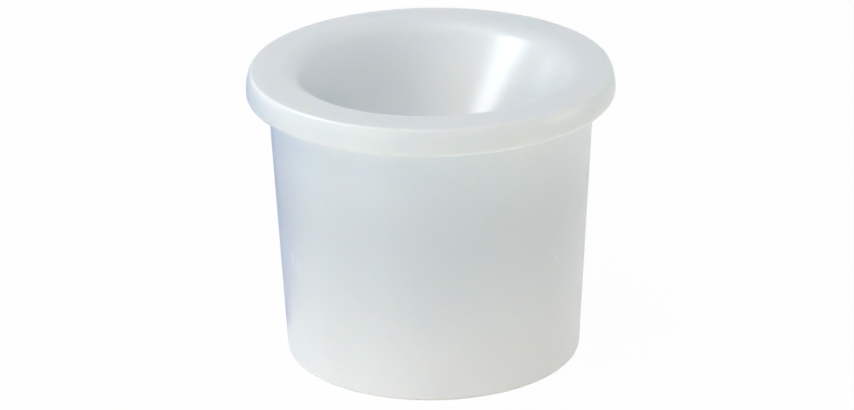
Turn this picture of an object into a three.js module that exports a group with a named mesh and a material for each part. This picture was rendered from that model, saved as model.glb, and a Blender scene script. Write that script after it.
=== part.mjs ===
// Non-spill paint cup: a tapered pot and a push-on lid whose funnel hangs inside it.
// Millimetres, +Z up. The origin is the middle of the foot ring, on the table.
// Both pieces are injection moulded in natural polypropylene and are round about Z.

import * as THREE from "three";

// The whole cup
const overallHeight = 75.9;
const seatGap = 0.3; // clearance wherever the lid sits on or in the pot

// Pot
const potBaseDiameter = 75;
const potMouthDiameter = 82.6; // outside of the wall at the rim, so the wall has about 3 degrees of draft
const potWall = 1.5;
const potFloor = 1.7;
const baseEdgeRound = 1.4;
const innerBaseRound = 3.5;
const footRingWidth = 3.2;
const footRecess = 1.2; // how far the middle of the base stands off the table
const gateDiameter = 5; // stub of the moulding gate, in the middle of the recess
const gateHeight = 0.5;
const beadReach = 2.3; // how far the rim bead stands out of the wall
const beadHeight = 2.4;
const beadRound = 0.7;

// Lid: rim and skirt
const skirtWall = 2.6; // at the lid's widest ring
const lidTopWall = 2.1; // under the flat top
const topEdgeInset = 1.6; // from the widest ring in to the outer edge of the top
const rimRise = 0.3; // how far the flat top stands above that edge
const rimSlope = 3; // width of the slope up to the flat top
const crownRound = 25; // rounding between that slope and the flat top
const skirtTuck = 1.58; // how far the foot of the skirt is drawn in
const skirtFootRound = 1.55; // height of the rounding from the foot up to the widest ring
const lipReach = 0.8; // the snap lip's step in from the skirt's inner wall
const lipLand = 0.75;
const lipFlareHeight = 1;
const lipFlareReach = 0.7;
const plugWall = 1.3; // sealing ring that plugs the mouth of the pot
const plugDepth = 5;
const plugDraft = 0.25; // taper of the plug's inner face over its depth

// Lid: funnel
const troughWidth = 2.7; // from the plug to the funnel, under the flat top
const troughRound = 2.2;
const mouthRound = 7; // the flat top rolls over this into the funnel
const funnelAngle = 52.3; // degrees from level
const funnelWall = 1.5;
const spoutBore = 23;
const spoutLength = 10;
const spoutRound = 3;

// Small roundings shared by both pieces
const edgeRound = 0.5;
const cornerRound = 0.4;

// Faceting
const turnSegments = 60;
const arcStep = 20; // degrees
const ellipseSteps = 5;

// Levels and radii that one piece takes from the other
const lidTopZ = overallHeight;
const lidUnderZ = lidTopZ - lidTopWall;
const potRimZ = lidUnderZ - seatGap;
const potBaseRadius = potBaseDiameter / 2;
const potMouthRadius = potMouthDiameter / 2;
const beadRadius = potMouthRadius + beadReach;
const beadFootZ = potRimZ - beadHeight;
const channelRadius = beadRadius + seatGap;
const potDraft = (potMouthRadius - potBaseRadius) / potRimZ;

function potOuterRadius(z) {
  return potBaseRadius + potDraft * z;
}

function potInnerRadius(z) {
  return potOuterRadius(z) - potWall;
}

// Turns a list of [radius, height, rounding] corners into points, with an arc at each rounded corner.
// A rounding that its neighbours leave no room for is drawn as large as fits.
function outline(corners) {
  const at = (i) => new THREE.Vector2(...corners[(i + corners.length) % corners.length]);
  return corners.flatMap(([r, z, rounding = 0], i) => {
    const corner = new THREE.Vector2(r, z);
    if (rounding === 0) return [corner];
    const toBefore = at(i - 1).sub(corner);
    const toAfter = at(i + 1).sub(corner);
    const room = 0.48 * Math.min(toBefore.length(), toAfter.length());
    toBefore.normalize();
    toAfter.normalize();
    const halfAngle = Math.acos(THREE.MathUtils.clamp(toBefore.dot(toAfter), -1, 1)) / 2;
    const tangent = Math.min(rounding / Math.tan(halfAngle), room);
    const arcRadius = tangent * Math.tan(halfAngle);
    const inward = toBefore.clone().add(toAfter).normalize();
    const centre = corner.clone().addScaledVector(inward, arcRadius / Math.sin(halfAngle));
    const start = corner.clone().addScaledVector(toBefore, tangent);
    const sweep = Math.PI - 2 * halfAngle;
    const turn = Math.sign(toAfter.cross(toBefore)) * sweep;
    const steps = Math.ceil(sweep / THREE.MathUtils.degToRad(arcStep));
    return Array.from({ length: steps + 1 }, (_, k) => start.clone().rotateAround(centre, (turn * k) / steps));
  });
}

// A quarter ellipse between two angles, in degrees, about a centre in the plane of the profile.
function quarterEllipse(centreR, centreZ, reachR, reachZ, from, to) {
  const [start, end] = [from, to].map(THREE.MathUtils.degToRad);
  const curve = new THREE.EllipseCurve(centreR, centreZ, reachR, reachZ, start, end, to < from);
  return curve.getPoints(ellipseSteps).map((p) => [p.x, p.y]);
}

// Revolves a profile about Z. The profile is walked with the material on its left.
function turned(name, profile, material) {
  const geometry = new THREE.LatheGeometry(profile, turnSegments).rotateX(Math.PI / 2);
  const mesh = new THREE.Mesh(geometry, material);
  mesh.name = name;
  return mesh;
}

// The pot: foot ring, drafted wall and the bead that the lid snaps over.
function potProfile() {
  const gateRadius = gateDiameter / 2;
  const gateZ = footRecess - gateHeight;
  const footInnerRadius = potBaseRadius - baseEdgeRound - footRingWidth;
  const floorZ = footRecess + potFloor;
  const beadRootZ = (beadFootZ - beadRadius + potBaseRadius) / (1 - potDraft); // a 45 degree underside
  return outline([
    [0, gateZ],
    [gateRadius, gateZ],
    [gateRadius, footRecess],
    [footInnerRadius, footRecess, edgeRound],
    [footInnerRadius, 0, cornerRound],
    [potBaseRadius, 0, baseEdgeRound],
    [potOuterRadius(beadRootZ), beadRootZ, edgeRound],
    [beadRadius, beadFootZ, beadRound],
    [beadRadius, potRimZ, beadRound],
    [potInnerRadius(potRimZ), potRimZ, edgeRound],
    [potInnerRadius(floorZ), floorZ, innerBaseRound],
    [0, floorZ],
  ]);
}

// The lid: rounded rim, skirt with its snap lip, plug seal, and the funnel down to its spout.
function lidProfile() {
  const lidRadius = channelRadius + skirtWall;
  const topEdgeRadius = lidRadius - topEdgeInset;
  const skirtFootRadius = lidRadius - skirtTuck;

  // The snap lip lies under the bead, with its upper face parallel to the bead's underside.
  const lipRadius = channelRadius - lipReach;
  const lipShoulderZ = beadFootZ + seatGap - seatGap * Math.SQRT2;
  const lipTopZ = lipShoulderZ - lipReach;
  const lipFootZ = lipTopZ - lipLand;
  const skirtFootZ = lipFootZ - lipFlareHeight;
  const widestZ = skirtFootZ + skirtFootRound;

  // The plug follows the inside of the pot.
  const plugFootZ = lidUnderZ - plugDepth;
  const plugOuterTop = potInnerRadius(lidUnderZ) - seatGap;
  const plugOuterFoot = potInnerRadius(plugFootZ) - seatGap;
  const plugInnerFoot = plugOuterFoot - plugWall;
  const plugInnerTop = plugInnerFoot - plugDraft;

  // The funnel's two faces are parallel cones. Their radii are worked out from the trough outwards.
  const slope = Math.tan(THREE.MathUtils.degToRad(funnelAngle));
  const levelWall = funnelWall / Math.sin(THREE.MathUtils.degToRad(funnelAngle));
  const funnelOuterTop = plugInnerTop - troughWidth;
  const mouthRadius = funnelOuterTop - levelWall + lidTopWall / slope;
  const spoutRadius = spoutBore / 2;
  const spoutOuterRadius = spoutRadius + funnelWall;
  const throatZ = lidTopZ - (mouthRadius - spoutRadius) * slope;
  const throatOuterZ = lidUnderZ - (funnelOuterTop - spoutOuterRadius) * slope;
  const spoutFootZ = throatZ - spoutLength;

  const profile = outline([
    ...quarterEllipse(skirtFootRadius, widestZ, skirtTuck, skirtFootRound, -90, 0),
    ...quarterEllipse(topEdgeRadius, widestZ, topEdgeInset, lidTopZ - rimRise - widestZ, 0, 88).slice(1),
    [topEdgeRadius - rimSlope, lidTopZ, crownRound],
    [mouthRadius, lidTopZ, mouthRound],
    [spoutRadius, throatZ, spoutRound],
    [spoutRadius, spoutFootZ, edgeRound],
    [spoutOuterRadius, spoutFootZ, edgeRound],
    [spoutOuterRadius, throatOuterZ, spoutRound],
    [funnelOuterTop, lidUnderZ, troughRound],
    [plugInnerTop, lidUnderZ, edgeRound],
    [plugInnerFoot, plugFootZ, edgeRound],
    [plugOuterFoot, plugFootZ, edgeRound],
    [plugOuterTop, lidUnderZ],
    [channelRadius, lidUnderZ, edgeRound],
    [channelRadius, lipShoulderZ],
    [lipRadius, lipTopZ, cornerRound],
    [lipRadius, lipFootZ, cornerRound],
    [lipRadius + lipFlareReach, skirtFootZ],
  ]);
  return [...profile, profile[0]];
}

const potPlastic = new THREE.MeshStandardMaterial({ color: 0xd3dce0, roughness: 0.36, metalness: 0 });
const lidPlastic = new THREE.MeshStandardMaterial({ color: 0xdbe1e1, roughness: 0.28, metalness: 0 });

const paintCup = new THREE.Group();
paintCup.name = "paint_cup";
paintCup.add(turned("pot", potProfile(), potPlastic));
paintCup.add(turned("funnel_lid", lidProfile(), lidPlastic));

export default paintCup;
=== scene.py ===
import math

import bpy
from mathutils import Matrix, Vector


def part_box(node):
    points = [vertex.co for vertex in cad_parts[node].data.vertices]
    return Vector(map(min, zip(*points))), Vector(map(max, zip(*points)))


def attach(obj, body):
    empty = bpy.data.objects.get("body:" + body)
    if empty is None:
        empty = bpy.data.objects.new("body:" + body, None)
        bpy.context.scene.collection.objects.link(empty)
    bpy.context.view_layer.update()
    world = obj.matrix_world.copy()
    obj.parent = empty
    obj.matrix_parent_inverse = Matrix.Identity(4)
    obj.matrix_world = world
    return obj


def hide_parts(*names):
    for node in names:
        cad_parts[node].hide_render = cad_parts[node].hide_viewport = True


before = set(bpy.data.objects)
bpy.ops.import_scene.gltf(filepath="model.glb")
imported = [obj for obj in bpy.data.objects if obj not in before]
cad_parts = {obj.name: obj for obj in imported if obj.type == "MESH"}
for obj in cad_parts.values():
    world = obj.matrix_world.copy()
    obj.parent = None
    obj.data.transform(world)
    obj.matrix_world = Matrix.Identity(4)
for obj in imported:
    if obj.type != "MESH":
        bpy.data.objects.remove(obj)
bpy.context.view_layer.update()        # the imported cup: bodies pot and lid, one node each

mm = 0.001
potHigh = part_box("pot")[1] / mm
lidLow, lidHigh = (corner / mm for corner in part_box("funnel_lid"))


# Small helpers for nodes and objects

def addNode(tree, kind, inputs=None, **settings):
    node = tree.nodes.new(kind)
    for name, value in settings.items():
        setattr(node, name, value)
    for socket, source in (inputs or {}).items():
        if isinstance(source, bpy.types.NodeSocket):
            tree.links.new(source, node.inputs[socket])
        else:
            node.inputs[socket].default_value = source
    return node


def mathNode(tree, operation, *values):
    return addNode(tree, "ShaderNodeMath", dict(enumerate(values)), operation=operation).outputs[0]


def vectorNode(tree, operation, inputs, output="Vector"):
    return addNode(tree, "ShaderNodeVectorMath", inputs, operation=operation).outputs[output]


def addObject(name, data):
    thing = bpy.data.objects.new(name, data)
    bpy.context.scene.collection.objects.link(thing)
    return thing


# Turned mouldings: a profile of corners, each with its rounding, is filleted and revolved about Z

turning = {
    "steps": 240,        # round the axis
    "arcSteps": 8,       # in a sharp rounding
    "arcStepsPerMm": 2,  # more of them in a wide one
    "arcStepsMost": 26,
    "ellipseSteps": 26,
    "pathRadius": 25.0,  # mm, circle that the profile is carried round
    "flatGuard": 0.12,   # mm, plain point just past a rounding, so that flats shade flat
    "weld": 0.002,       # mm
}


def turningTree():
    tree = bpy.data.node_groups.new("turnedMoulding", "GeometryNodeTree")
    tree.is_modifier = True
    sockets = tree.interface
    sockets.new_socket("Profile", in_out="INPUT", socket_type="NodeSocketGeometry")
    for name, kind in (("Path Radius", "Float"), ("Turn Steps", "Int"),
                       ("Weld", "Float"), ("Finish", "Material")):
        sockets.new_socket(name, in_out="INPUT", socket_type="NodeSocket" + kind)
    sockets.new_socket("Moulding", in_out="OUTPUT", socket_type="NodeSocketGeometry")

    given = addNode(tree, "NodeGroupInput").outputs
    rounding = addNode(tree, "GeometryNodeInputNamedAttribute", {"Name": "rounding"}, data_type="FLOAT")
    arcSteps = addNode(tree, "GeometryNodeInputNamedAttribute", {"Name": "arcSteps"}, data_type="INT")
    corners = addNode(tree, "GeometryNodeMeshToCurve", {"Mesh": given["Profile"]})
    filleted = addNode(tree, "GeometryNodeFilletCurve", {
        "Curve": corners.outputs["Curve"],
        "Count": arcSteps.outputs["Attribute"],
        "Radius": rounding.outputs["Attribute"],
        "Limit Radius": True,
    }, mode="POLY")
    path = addNode(tree, "GeometryNodeCurvePrimitiveCircle", {
        "Resolution": given["Turn Steps"],
        "Radius": given["Path Radius"],
    }, mode="RADIUS")
    turned = addNode(tree, "GeometryNodeCurveToMesh", {
        "Curve": path.outputs["Curve"],
        "Profile Curve": filleted.outputs["Curve"],
    })
    welded = addNode(tree, "GeometryNodeMergeByDistance", {
        "Geometry": turned.outputs["Mesh"],
        "Distance": given["Weld"],
    })
    outward = addNode(tree, "GeometryNodeFlipFaces", {"Mesh": welded.outputs["Geometry"]})
    smooth = addNode(tree, "GeometryNodeSetShadeSmooth", {"Geometry": outward.outputs["Mesh"]})
    real = addNode(tree, "GeometryNodeRealizeInstances", {"Geometry": smooth.outputs["Geometry"]})
    finished = addNode(tree, "GeometryNodeSetMaterial", {
        "Geometry": real.outputs["Geometry"],
        "Material": given["Finish"],
    })
    addNode(tree, "NodeGroupOutput", {"Moulding": finished.outputs["Geometry"]})
    return tree


latheTree = turningTree()


def guardPoint(corner, leg, reach):
    # a plain point on a leg just past the rounding, where the leg has room for it
    if leg.length <= 2 * reach:
        return []
    guard = corner + leg.normalized() * reach
    return [(guard.x, guard.y, 0)]


def guarded(corners, closed):
    # adds the plain points that keep the flats beside each rounding flat
    points = []
    for i, (r, z, rounding) in enumerate(corners):
        inside = closed or 0 < i < len(corners) - 1
        if rounding == 0 or not inside:
            points.append((r, z, 0))
            continue
        here = Vector((r, z))
        before = Vector(corners[i - 1][:2]) - here
        after = Vector(corners[(i + 1) % len(corners)][:2]) - here
        reach = rounding / math.tan(before.angle(after) / 2) + turning["flatGuard"]
        points += guardPoint(here, before, reach)
        points.append((r, z, rounding))
        points += guardPoint(here, after, reach)
    return points


def arcStepCount(rounding):
    return min(turning["arcSteps"] + round(turning["arcStepsPerMm"] * rounding), turning["arcStepsMost"])


def turnedMoulding(name, corners, closed, finish):
    points = guarded(corners, closed)
    count = len(points)
    edges = [(i, (i + 1) % count) for i in range(count if closed else count - 1)]
    places = [((r - turning["pathRadius"]) * mm, -z * mm, 0) for r, z, _ in points]
    profile = bpy.data.meshes.new(name + "Profile")
    profile.from_pydata(places, edges, [])
    roundings = profile.attributes.new("rounding", "FLOAT", "POINT")
    roundings.data.foreach_set("value", [rounding * mm for _, _, rounding in points])
    arcSteps = profile.attributes.new("arcSteps", "INT", "POINT")
    arcSteps.data.foreach_set("value", [arcStepCount(rounding) for _, _, rounding in points])

    blank = addObject(name + "Blank", profile)
    lathe = blank.modifiers.new("lathe", "NODES")
    lathe.node_group = latheTree
    sizes = {
        "Path Radius": turning["pathRadius"] * mm,
        "Turn Steps": turning["steps"],
        "Weld": turning["weld"] * mm,
        "Finish": finish,
    }
    for socket in latheTree.interface.items_tree:
        if socket.name in sizes:
            lathe[socket.identifier] = sizes[socket.name]
    evaluated = blank.evaluated_get(bpy.context.evaluated_depsgraph_get())
    mesh = bpy.data.meshes.new_from_object(evaluated)
    blank.modifiers.remove(lathe)
    bpy.data.objects.remove(blank)

    mesh.name = name
    print("turned", name, len(mesh.polygons), "faces")
    return addObject(name, mesh)


def quarterEllipse(centre, reach, fromDegrees, toDegrees):
    steps = turning["ellipseSteps"]
    angles = [math.radians(fromDegrees + (toDegrees - fromDegrees) * k / steps) for k in range(steps + 1)]
    return [(centre[0] + reach[0] * math.cos(a), centre[1] + reach[1] * math.sin(a), 0) for a in angles]


# Pot (mm): foot ring, drafted wall and the bead that the lid snaps over

potShape = {
    "baseRadius": 37.5,
    "mouthRadius": 41.3,
    "wall": 1.5,
    "floor": 1.7,
    "baseRound": 1.4,
    "innerRound": 3.5,
    "footRing": 3.2,            # width
    "footRecess": 1.2,          # middle of the base above the table
    "gateRadius": 2.5,          # stub of the moulding gate
    "gateHeight": 0.5,
    "beadHeight": 2.4,
    "beadRound": 0.7,
    "edgeRound": 0.5,
    "cornerRound": 0.4,
    "gateRound": 0.2,
}

potDraft = (potShape["mouthRadius"] - potShape["baseRadius"]) / potHigh.z


def potRadius(z, inset=0.0):
    return potShape["baseRadius"] + potDraft * z - inset


def potCorners():
    s = potShape
    rimZ = potHigh.z
    beadRadius = potHigh.x
    beadFootZ = rimZ - s["beadHeight"]
    beadRootZ = (beadFootZ - beadRadius + s["baseRadius"]) / (1 - potDraft)        # 45 degree underside
    gateZ = s["footRecess"] - s["gateHeight"]
    footInner = s["baseRadius"] - s["baseRound"] - s["footRing"]
    floorZ = s["footRecess"] + s["floor"]
    return [
        (0, gateZ, 0),
        (s["gateRadius"], gateZ, s["gateRound"]),
        (s["gateRadius"], s["footRecess"], s["gateRound"]),
        (footInner, s["footRecess"], s["edgeRound"]),
        (footInner, 0, s["cornerRound"]),
        (s["baseRadius"], 0, s["baseRound"]),
        (potRadius(beadRootZ), beadRootZ, s["edgeRound"]),
        (beadRadius, beadFootZ, s["beadRound"]),
        (beadRadius, rimZ, s["beadRound"]),
        (potRadius(rimZ, s["wall"]), rimZ, s["edgeRound"]),
        (potRadius(floorZ, s["wall"]), floorZ, s["innerRound"]),
        (0, floorZ, 0),
    ]


# Funnel lid (mm): rounded rim, skirt with its snap lip, plug ring, funnel and spout

lidShape = {
    "topWall": 2.1,
    "skirtWall": 2.6,           # at the widest ring
    "topEdgeInset": 1.6,        # from the widest ring in to the outer edge of the top
    "topEdgeEnd": 88.0,         # degrees round that edge, where the slope of the rim takes over
    "skirtTuck": 1.58,          # how far the foot of the skirt is drawn in
    "skirtFootRound": 1.55,     # height of the rounding from there to the widest ring
    "lipReach": 0.8,            # snap lip's step in from the channel
    "lipLand": 0.75,
    "lipFlareHeight": 1.0,
    "lipFlareReach": 0.7,
    "plugWall": 1.3,
    "plugDepth": 5.0,
    "plugDraft": 0.25,          # taper of the plug's inner face
    "troughWidth": 2.7,         # from the plug to the funnel, under the flat top
    "rimRise": 0.3,             # flat top above its outer edge
    "rimSlope": 3.0,            # width of the slope up to the flat top
    "crownRound": 25.0,         # between that slope and the flat top
    "mouthRound": 7.0,          # the flat top rolls over this into the funnel
    "troughRound": 2.2,
    "funnelAngle": 52.3,        # degrees from level
    "funnelWall": 1.5,
    "spoutRadius": 11.5,
    "spoutRound": 3.0,
    "edgeRound": 0.5,
    "cornerRound": 0.4,
}

seatGap = lidHigh.z - potHigh.z - lidShape["topWall"]        # air between the lid's underside and the pot


def lidCorners():
    s = lidShape
    topZ = lidHigh.z
    underZ = topZ - s["topWall"]
    lidRadius = lidHigh.x
    channelRadius = lidRadius - s["skirtWall"]

    # snap lip under the pot's bead, its upper face parallel to the bead's underside
    lipRadius = channelRadius - s["lipReach"]
    lipShoulderZ = potHigh.z - potShape["beadHeight"] + seatGap - seatGap * math.sqrt(2)
    lipTopZ = lipShoulderZ - s["lipReach"]
    lipFootZ = lipTopZ - s["lipLand"]
    skirtFootZ = lipFootZ - s["lipFlareHeight"]
    widestZ = skirtFootZ + s["skirtFootRound"]

    # plug ring inside the pot's mouth
    plugFootZ = underZ - s["plugDepth"]
    plugOuterTop = potRadius(underZ, potShape["wall"] + seatGap)
    plugOuterFoot = potRadius(plugFootZ, potShape["wall"] + seatGap)
    plugInnerFoot = plugOuterFoot - s["plugWall"]
    plugInnerTop = plugInnerFoot - s["plugDraft"]

    # two parallel cones down to the spout
    slope = math.tan(math.radians(s["funnelAngle"]))
    levelWall = s["funnelWall"] / math.sin(math.radians(s["funnelAngle"]))
    funnelOuterTop = plugInnerTop - s["troughWidth"]
    mouthRadius = funnelOuterTop - levelWall + s["topWall"] / slope
    spoutOuter = s["spoutRadius"] + s["funnelWall"]
    throatZ = topZ - (mouthRadius - s["spoutRadius"]) * slope
    throatOuterZ = underZ - (funnelOuterTop - spoutOuter) * slope

    footCentre = (lidRadius - s["skirtTuck"], widestZ)
    footReach = (s["skirtTuck"], s["skirtFootRound"])
    topCentre = (lidRadius - s["topEdgeInset"], widestZ)
    topReach = (s["topEdgeInset"], topZ - s["rimRise"] - widestZ)
    return [
        *quarterEllipse(footCentre, footReach, -90, 0),
        *quarterEllipse(topCentre, topReach, 0, s["topEdgeEnd"])[1:],
        (topCentre[0] - s["rimSlope"], topZ, s["crownRound"]),
        (mouthRadius, topZ, s["mouthRound"]),
        (s["spoutRadius"], throatZ, s["spoutRound"]),
        (s["spoutRadius"], lidLow.z, s["edgeRound"]),
        (spoutOuter, lidLow.z, s["edgeRound"]),
        (spoutOuter, throatOuterZ, s["spoutRound"]),
        (funnelOuterTop, underZ, s["troughRound"]),
        (plugInnerTop, underZ, s["edgeRound"]),
        (plugInnerFoot, plugFootZ, s["edgeRound"]),
        (plugOuterFoot, plugFootZ, s["edgeRound"]),
        (plugOuterTop, underZ, 0),
        (channelRadius, underZ, s["edgeRound"]),
        (channelRadius, lipShoulderZ, 0),
        (lipRadius, lipTopZ, s["cornerRound"]),
        (lipRadius, lipFootZ, s["cornerRound"]),
        (lipRadius + s["lipFlareReach"], skirtFootZ, 0),
    ]


# Natural polypropylene: milky, so light runs on inside the wall, with a satin skin
# A pattern's noise has one scale, per metre, or a scale round the axis and another along the profile
# Where it has a between, only that stretch of the noise counts, as 0 to 1

plastic = {
    "ior": 1.49,
    "gloss": 0.5,
    "scatterTint": (1.25, 1.0, 0.8),   # red runs furthest, so thin walls look cool by reflected light
    "scatterReach": 1.2,               # mm
    "skin": {"scale": 3800, "detail": 1},
    "skinDepth": 0.0025,               # mm, fine satin of the mould
    "spotCore": 0.35,                  # share of a spot's reach that it marks in full
}


def ramp(tree, value, fromLow, fromHigh, toLow=0.0, toHigh=1.0):
    limits = {"Value": value, "From Min": fromLow, "From Max": fromHigh, "To Min": toLow, "To Max": toHigh}
    return addNode(tree, "ShaderNodeMapRange", limits, interpolation_type="SMOOTHSTEP").outputs["Result"]


def total(tree, *values):
    result = values[0]
    for value in values[1:]:
        result = mathNode(tree, "ADD", result, value)
    return result


def rgba(colour):
    return colour if isinstance(colour, bpy.types.NodeSocket) else (*colour, 1)


def blendColour(tree, share, colourA, colourB):
    inputs = {0: share, 6: rgba(colourA), 7: rgba(colourB)}        # the Mix node's sockets for colours
    return addNode(tree, "ShaderNodeMix", inputs, data_type="RGBA").outputs[2]


def blendValue(tree, share, valueA, valueB):
    inputs = {0: share, 2: valueA, 3: valueB}        # the Mix node's sockets for numbers
    return addNode(tree, "ShaderNodeMix", inputs, data_type="FLOAT").outputs[0]


def turnedPlace(tree):
    # where a point lies on a turned piece: its own coordinates, radius, height and heading from the axis
    place = addNode(tree, "ShaderNodeTexCoord").outputs["Object"]
    parts = addNode(tree, "ShaderNodeSeparateXYZ", {"Vector": place}).outputs
    flat = addNode(tree, "ShaderNodeCombineXYZ", {"X": parts["X"], "Y": parts["Y"]}).outputs["Vector"]
    radius = vectorNode(tree, "LENGTH", {0: flat}, "Value")
    heading = vectorNode(tree, "NORMALIZE", {0: flat})
    return {"place": place, "radius": radius, "height": parts["Z"], "heading": heading}


def drawnOut(tree, at, grain):
    # pattern space that closes on itself round the axis, with its own scale along the profile
    wide = vectorNode(tree, "SCALE", {0: at["heading"], "Scale": grain["round"]})
    fine = mathNode(tree, "MULTIPLY", at["along"], grain["along"])
    rise = addNode(tree, "ShaderNodeCombineXYZ", {"Z": fine}).outputs["Vector"]
    return vectorNode(tree, "ADD", {0: wide, 1: rise})


def pattern(tree, at, grain):
    inputs = {"Detail": grain["detail"], "Roughness": grain.get("roughness", 0.5)}
    if "round" in grain:
        inputs.update({"Vector": drawnOut(tree, at, grain), "Scale": 1.0})
    else:
        inputs.update({"Vector": at["place"], "Scale": grain["scale"]})
    value = addNode(tree, "ShaderNodeTexNoise", inputs).outputs["Fac"]
    return ramp(tree, value, *grain["between"]) if "between" in grain else value


def nearSpot(tree, at, spot, reach):
    # 1 at a spot on the piece, given in mm, falling to 0 at its reach
    centre = [c * mm for c in spot]
    away = vectorNode(tree, "DISTANCE", {0: at["place"], 1: centre}, "Value")
    return ramp(tree, away, reach * mm, plastic["spotCore"] * reach * mm)


def relief(tree, *layers):
    # height of the skin in metres, from patterns and their depths in mm
    return total(tree, *(mathNode(tree, "MULTIPLY", value, depth * mm) for value, depth in layers))


def startPlastic(name):
    material = bpy.data.materials.new(name)
    material.use_nodes = True
    inputs = material.node_tree.nodes["Principled BSDF"].inputs
    inputs["IOR"].default_value = plastic["ior"]
    inputs["Specular IOR Level"].default_value = plastic["gloss"]
    inputs["Subsurface Weight"].default_value = 1.0
    inputs["Subsurface Radius"].default_value = plastic["scatterTint"]
    inputs["Subsurface Scale"].default_value = plastic["scatterReach"] * mm
    return material


def finishPlastic(material, colour, roughness, height):
    tree = material.node_tree
    inputs = tree.nodes["Principled BSDF"].inputs
    bump = addNode(tree, "ShaderNodeBump", {"Height": height, "Distance": 1.0, "Strength": 1.0})
    tree.links.new(colour, inputs["Base Color"])
    tree.links.new(roughness, inputs["Roughness"])
    tree.links.new(bump.outputs["Normal"], inputs["Normal"])


potLook = {
    "milk": (0.85, 0.85, 0.85),
    "paintedCoolShade": (0.822, 0.85, 0.872),  # painted cool shade higher up the wall, where less light comes through it
    "milkRise": (8, 42),               # mm, heights between which one gives way to the other
    "shades": (                        # mm up the wall, share of the milk: painted shade at mid-height, painted light at the foot and top
        (2, 1.03), (15, 0.985), (30, 0.925),
        (45, 0.895), (58, 0.96), (66, 1.02),
    ),
    "shadeTop": 1.2,                   # top of the curve that joins them
    "clouds": {"scale": 55, "detail": 3, "between": (0.36, 0.64)},
    "cloudShare": 0.988,               # share of the white left in the cloudier patches
    "satin": (0.34, 0.44),             # roughness, from rubbed to matt
    "rubbing": {"scale": 120, "detail": 4, "roughness": 0.6, "between": (0.35, 0.7)},
    "flow": {"round": 9, "along": 45, "detail": 3},
    "flowDepth": 0.006,                # mm, faint lines left as the plastic filled the mould
    "paleMarks": (                        # mm, pale strokes: where each lies and its reach
        ((-34.68, -17.92, 29.6), 4.1),
        ((30.97, -24.03, 32.9), 0.9),
    ),
    "strokes": {"round": 100, "along": 90, "detail": 1, "between": (0.50, 0.58)},
    "paleMarkColour": (0.93, 0.94, 0.95),
    "paleMarkCover": 0.95,                # share of the colour beneath that a stroke hides
    "paleMarkMatt": 0.12,                 # added to the roughness
}


def heightShade(tree, at):
    # painted light and shade up the wall's height, standing for the light inside that shows through it
    look = potLook
    rise = mathNode(tree, "DIVIDE", at["height"], potHigh.z * mm)
    curve = addNode(tree, "ShaderNodeFloatCurve", {"Value": rise})
    points = curve.mapping.curves[0].points
    startCount = len(points)        # a new curve has its two ends
    for i, (height, share) in enumerate(look["shades"]):
        place = (height / potHigh.z, share / look["shadeTop"])
        if i < startCount:
            points[i].location = place
        else:
            points.new(*place)
    curve.mapping.extend = "HORIZONTAL"
    curve.mapping.update()
    return mathNode(tree, "MULTIPLY", curve.outputs["Value"], look["shadeTop"])


def potMaterial():
    look = potLook
    material = startPlastic("potPlastic")
    tree = material.node_tree
    at = turnedPlace(tree)
    at["along"] = at["height"]
    clouds = pattern(tree, at, look["clouds"])
    flow = pattern(tree, at, look["flow"])
    skin = pattern(tree, at, plastic["skin"])
    rubbed = pattern(tree, at, look["rubbing"])

    # pale strokes at two spots, lighter and matter than the wall around them
    strokes = pattern(tree, at, look["strokes"])
    spots = [nearSpot(tree, at, spot, reach) for spot, reach in look["paleMarks"]]
    paleMarked = mathNode(tree, "MULTIPLY", strokes, total(tree, *spots))

    # painted cool shade: the milk turns cooler between these heights
    low, high = (height * mm for height in look["milkRise"])
    milk = blendColour(tree, ramp(tree, at["height"], low, high), look["milk"], look["paintedCoolShade"])
    clouded = ramp(tree, clouds, 0, 1, 1.0, look["cloudShare"])
    # painted light and shade by height, with a little random cloudiness
    shade = mathNode(tree, "MULTIPLY", heightShade(tree, at), clouded)
    shaded = vectorNode(tree, "SCALE", {0: milk, "Scale": shade})
    cover = mathNode(tree, "MULTIPLY", paleMarked, look["paleMarkCover"])
    colour = blendColour(tree, cover, shaded, look["paleMarkColour"])

    smooth, matt = look["satin"]
    roughness = total(tree,
                      mathNode(tree, "MULTIPLY", rubbed, matt - smooth),
                      smooth,
                      mathNode(tree, "MULTIPLY", paleMarked, look["paleMarkMatt"]))
    height = relief(tree, (skin, plastic["skinDepth"]), (flow, look["flowDepth"]))
    finishPlastic(material, colour, roughness, height)
    return material


lidLook = {
    "milk": (0.843, 0.862, 0.858),
    "milkCloudy": (0.828, 0.852, 0.853),
    "clouds": {"scale": 60, "detail": 3, "between": (0.36, 0.64)},
    "satin": (0.32, 0.42),             # roughness of the rim
    "rubbing": {"round": 5, "along": 160, "detail": 3, "between": (0.35, 0.68)},
    "funnelSatin": (0.28, 0.32),       # roughness of the funnel, which the mould's turned core left smooth
    "toolLines": {"round": 1.5, "along": 2400, "detail": 3, "roughness": 0.6, "between": (0.3, 0.7)},
    "funnelEdge": (41.5, 36.0),        # mm, radii between which the rim's skin gives way to the funnel's
    "wisps": {"round": 3, "along": 420, "detail": 2},
    "wispDepth": 0.006,                # mm, long faint marks round the rim
    "specks": (                        # mm, where each lies and its reach
        ((-30.85, 5.46, 72.28), 0.3),
    ),
    "speckColour": (0.42, 0.40, 0.38),
}


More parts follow.
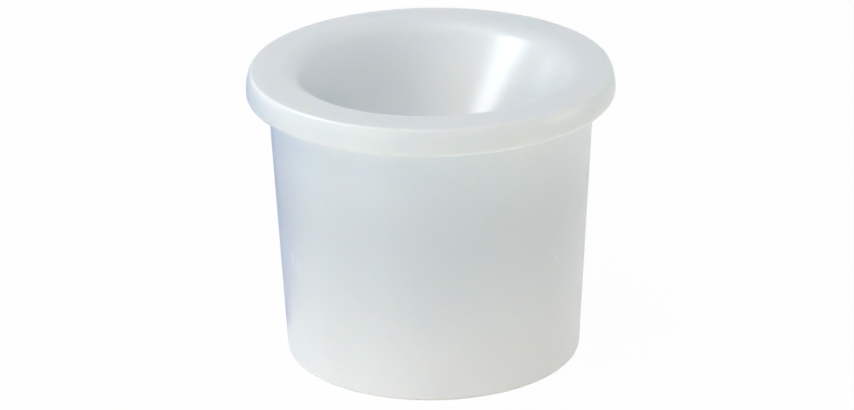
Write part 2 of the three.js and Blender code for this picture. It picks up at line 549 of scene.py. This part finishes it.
def lidMaterial():
    look = lidLook
    material = startPlastic("lidPlastic")
    tree = material.node_tree
    at = turnedPlace(tree)
    at["along"] = mathNode(tree, "ADD", at["radius"], at["height"])
    clouds = pattern(tree, at, look["clouds"])
    skin = pattern(tree, at, plastic["skin"])
    wisps = pattern(tree, at, look["wisps"])
    lines = pattern(tree, at, look["toolLines"])
    rubbed = pattern(tree, at, look["rubbing"])

    colour = blendColour(tree, clouds, look["milk"], look["milkCloudy"])
    for spot, reach in look["specks"]:
        colour = blendColour(tree, nearSpot(tree, at, spot, reach), colour, look["speckColour"])

    outer, inner = (edge * mm for edge in look["funnelEdge"])
    inFunnel = ramp(tree, at["radius"], outer, inner)
    onRim = mathNode(tree, "SUBTRACT", 1.0, inFunnel)
    rim = ramp(tree, rubbed, 0, 1, *look["satin"])
    smooth, matt = look["funnelSatin"]
    funnel = mathNode(tree, "MULTIPLY_ADD", lines, matt - smooth, smooth)
    roughness = blendValue(tree, inFunnel, rim, funnel)
    rimWisps = mathNode(tree, "MULTIPLY", wisps, onRim)
    height = relief(tree, (skin, plastic["skinDepth"]), (rimWisps, look["wispDepth"]))
    finishPlastic(material, colour, roughness, height)
    return material


potPiece = turnedMoulding("paint_pot", potCorners(), closed=False, finish=potMaterial())
lidPiece = turnedMoulding("snap_funnel_lid", lidCorners(), closed=True, finish=lidMaterial())

for piece, node, body, slot in ((potPiece, "pot", "pot", "pot_plastic"),
                                (lidPiece, "funnel_lid", "lid", "lid_plastic")):
    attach(piece, body)
    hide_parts(node)
print("pieces ride on their bodies")


# Camera at the photograph's viewpoint

cameraView = {
    "pictureWidth": 854,        # pixels
    "focalPixels": 3924.15,     # focal length in those pixels
    "elevation": 21.82,         # degrees
    "roll": -0.72,              # degrees
    "distance": 1000.0,         # mm
    "aim": (-1.31, 0.0, 37.97),     # mm
    "sensor": 36.0,             # mm
    "clip": (0.05, 50.0),       # m
}


def placeCamera():
    v = cameraView
    data = bpy.data.cameras.new("photoCamera")
    data.sensor_width = v["sensor"]
    data.lens = v["focalPixels"] / v["pictureWidth"] * v["sensor"]
    data.clip_start, data.clip_end = v["clip"]

    tilt = math.radians(v["elevation"])
    back = Vector((0, -math.cos(tilt), math.sin(tilt)))
    facing = (-back).to_track_quat("-Z", "Y").to_matrix().to_4x4()
    turn = facing @ Matrix.Rotation(math.radians(v["roll"]), 4, "Z")
    camera = addObject("photoCamera", data)
    camera.matrix_world = Matrix.Translation((Vector(v["aim"]) + back * v["distance"]) * mm) @ turn
    bpy.context.scene.camera = camera


# Soft studio light, warm from above and the right and cool from the left
# Degrees round from the camera's side and up, metres away, width and height in metres
# The low lamps stand in for light that the table throws up, and the streaks make highlights only

lampAim = Vector((0, 0, 0.04))        # m, point on the axis that every lamp faces

lamps = {
    "highLeft": {"around": -60, "up": 68, "away": 1.2, "size": (0.9, 0.9),
                 "watts": 5.2, "colour": (1, 0.82, 0.65)},
    "highBackLeft": {"around": -120, "up": 68, "away": 1.2, "size": (0.9, 0.9),
                     "watts": 2.1, "colour": (0.58, 0.86, 1)},
    "highFront": {"around": 0, "up": 50, "away": 1.2, "size": (0.6, 0.5),
                  "watts": 0.95, "colour": (0.86, 0.88, 0.92)},
    "right": {"around": 85, "up": 6, "away": 1.2, "size": (0.5, 0.4),
              "watts": 3.05, "colour": (1, 0.985, 0.87)},
    "frontLeft": {"around": -35, "up": 12, "away": 1.2, "size": (0.5, 0.4),
                  "watts": 1.67, "colour": (1, 0.96, 0.82)},
    "left": {"around": -60, "up": 12, "away": 1.2, "size": (0.5, 0.4),
             "watts": 1.15, "colour": (0.5, 0.8, 1)},
    "backLeft": {"around": -115, "up": 12, "away": 1.2, "size": (0.5, 0.4),
                 "watts": 1.3, "colour": (0.75, 0.8, 1)},
    "lowLeft": {"around": -40, "up": -7, "away": 0.2, "size": (0.10, 0.03),
                "watts": 0.034, "colour": (0.86, 0.93, 1)},
    "lowFront": {"around": 0, "up": -7, "away": 0.2, "size": (0.10, 0.03),
                 "watts": 0.012, "colour": (1, 1, 0.8)},
    "lowRight": {"around": 60, "up": -7, "away": 0.2, "size": (0.10, 0.03),
                 "watts": 0.023, "colour": (1, 0.86, 0.6)},
    "streak": {"around": -93, "up": 43.5, "away": 1.1, "size": (0.54, 0.40),
               "watts": 6.9, "colour": (1, 1, 1), "highlightOnly": True},
    "sideStreak": {"around": -138, "up": 12, "away": 1.1, "size": (0.12, 0.12),
                   "watts": 0.23, "colour": (1, 1, 1), "highlightOnly": True},
}


def placeLamps():
    for name, lamp in lamps.items():
        data = bpy.data.lights.new(name, "AREA")
        data.shape = "ELLIPSE"
        data.size, data.size_y = lamp["size"]
        data.energy = lamp["watts"]
        data.color = lamp["colour"]

        around = math.radians(lamp["around"])
        up = math.radians(lamp["up"])
        toward = Vector((math.sin(around) * math.cos(up), -math.cos(around) * math.cos(up), math.sin(up)))
        light = addObject(name, data)
        light.location = lampAim + toward * lamp["away"]
        light.rotation_mode = "QUATERNION"
        light.rotation_quaternion = toward.to_track_quat("Z", "Y")
        light.visible_camera = False
        light.visible_diffuse = not lamp.get("highlightOnly", False)


# White surroundings: what is seen directly is white, and what lights the cup is tinted

ambient = {"colour": (0.65, 0.785, 0.97), "strength": 0.352}
floorLook = {"colour": (0.955, 0.92, 0.85), "size": 6.0, "whiteShare": 0.97}
plainWhite = (1, 1, 1)


def seenDirectly(tree):
    # 1 for rays from the camera, a reflection or a see-through surface
    path = addNode(tree, "ShaderNodeLightPath").outputs
    seen = mathNode(tree, "MAXIMUM", path["Is Camera Ray"], path["Is Glossy Ray"])
    return mathNode(tree, "MAXIMUM", seen, path["Is Transmission Ray"])


def glow(tree, kind, colour, strength=1.0):
    return addNode(tree, kind, {"Color": rgba(colour), "Strength": strength}).outputs[0]


def blendShader(tree, share, shaderA, shaderB):
    return addNode(tree, "ShaderNodeMixShader", {0: share, 1: shaderA, 2: shaderB}).outputs[0]


def makeWorld():
    world = bpy.data.worlds.new("whiteStudio")
    world.use_nodes = True
    tree = world.node_tree
    tree.nodes.clear()
    soft = glow(tree, "ShaderNodeBackground", ambient["colour"], ambient["strength"])
    bright = glow(tree, "ShaderNodeBackground", plainWhite)
    addNode(tree, "ShaderNodeOutputWorld", {"Surface": blendShader(tree, seenDirectly(tree), soft, bright)})
    bpy.context.scene.world = world


def stageSheet(name, finish, corners, faces):
    mesh = bpy.data.meshes.new(name)
    mesh.from_pydata(corners, [], faces)
    material = bpy.data.materials.new(finish)
    material.use_nodes = True
    material.node_tree.nodes.clear()
    mesh.materials.append(material)
    return addObject(name, mesh), material.node_tree


def makeFloor():
    half = floorLook["size"] / 2
    corners = [(-half, -half, 0), (half, -half, 0), (half, half, 0), (-half, half, 0)]
    floor, tree = stageSheet("floor", "paleFloor", corners, [(0, 1, 2, 3)])
    matt = addNode(tree, "ShaderNodeBsdfDiffuse", {"Color": rgba(floorLook["colour"])}).outputs[0]
    bright = glow(tree, "ShaderNodeEmission", plainWhite)
    share = mathNode(tree, "MULTIPLY", seenDirectly(tree), floorLook["whiteShare"])
    fromAbove = blendShader(tree, share, matt, bright)
    below = addNode(tree, "ShaderNodeNewGeometry").outputs["Backfacing"]
    clear = addNode(tree, "ShaderNodeBsdfTransparent").outputs[0]
    addNode(tree, "ShaderNodeOutputMaterial", {"Surface": blendShader(tree, below, fromAbove, clear)})


# Cool card folded up behind the cup's left side (m)
# It is seen only in reflections, and deepens the plastic's left edges

coolCard = {
    "left": -0.7,
    "right": -0.04,
    "front": 0.009,
    "back": 0.06,        # where it folds upright
    "foot": 0.0005,
    "top": 0.072,
    "colour": (0.0, 0.09, 0.5),
}


def layCoolCard():
    c = coolCard
    folds = ((c["front"], c["foot"]), (c["back"], c["foot"]), (c["back"], c["top"]))
    corners = [(x, y, z) for y, z in folds for x in (c["left"], c["right"])]
    card, tree = stageSheet("coolCard", "coolCard", corners, [(0, 1, 3, 2), (2, 3, 5, 4)])
    addNode(tree, "ShaderNodeOutputMaterial", {"Surface": glow(tree, "ShaderNodeEmission", c["colour"])})
    card.visible_camera = False
    card.visible_diffuse = False
    card.visible_shadow = False


placeCamera()
placeLamps()
layCoolCard()
makeWorld()
makeFloor()
bpy.context.scene.view_settings.view_transform = "Standard"
print("camera, lamps and floor are set")
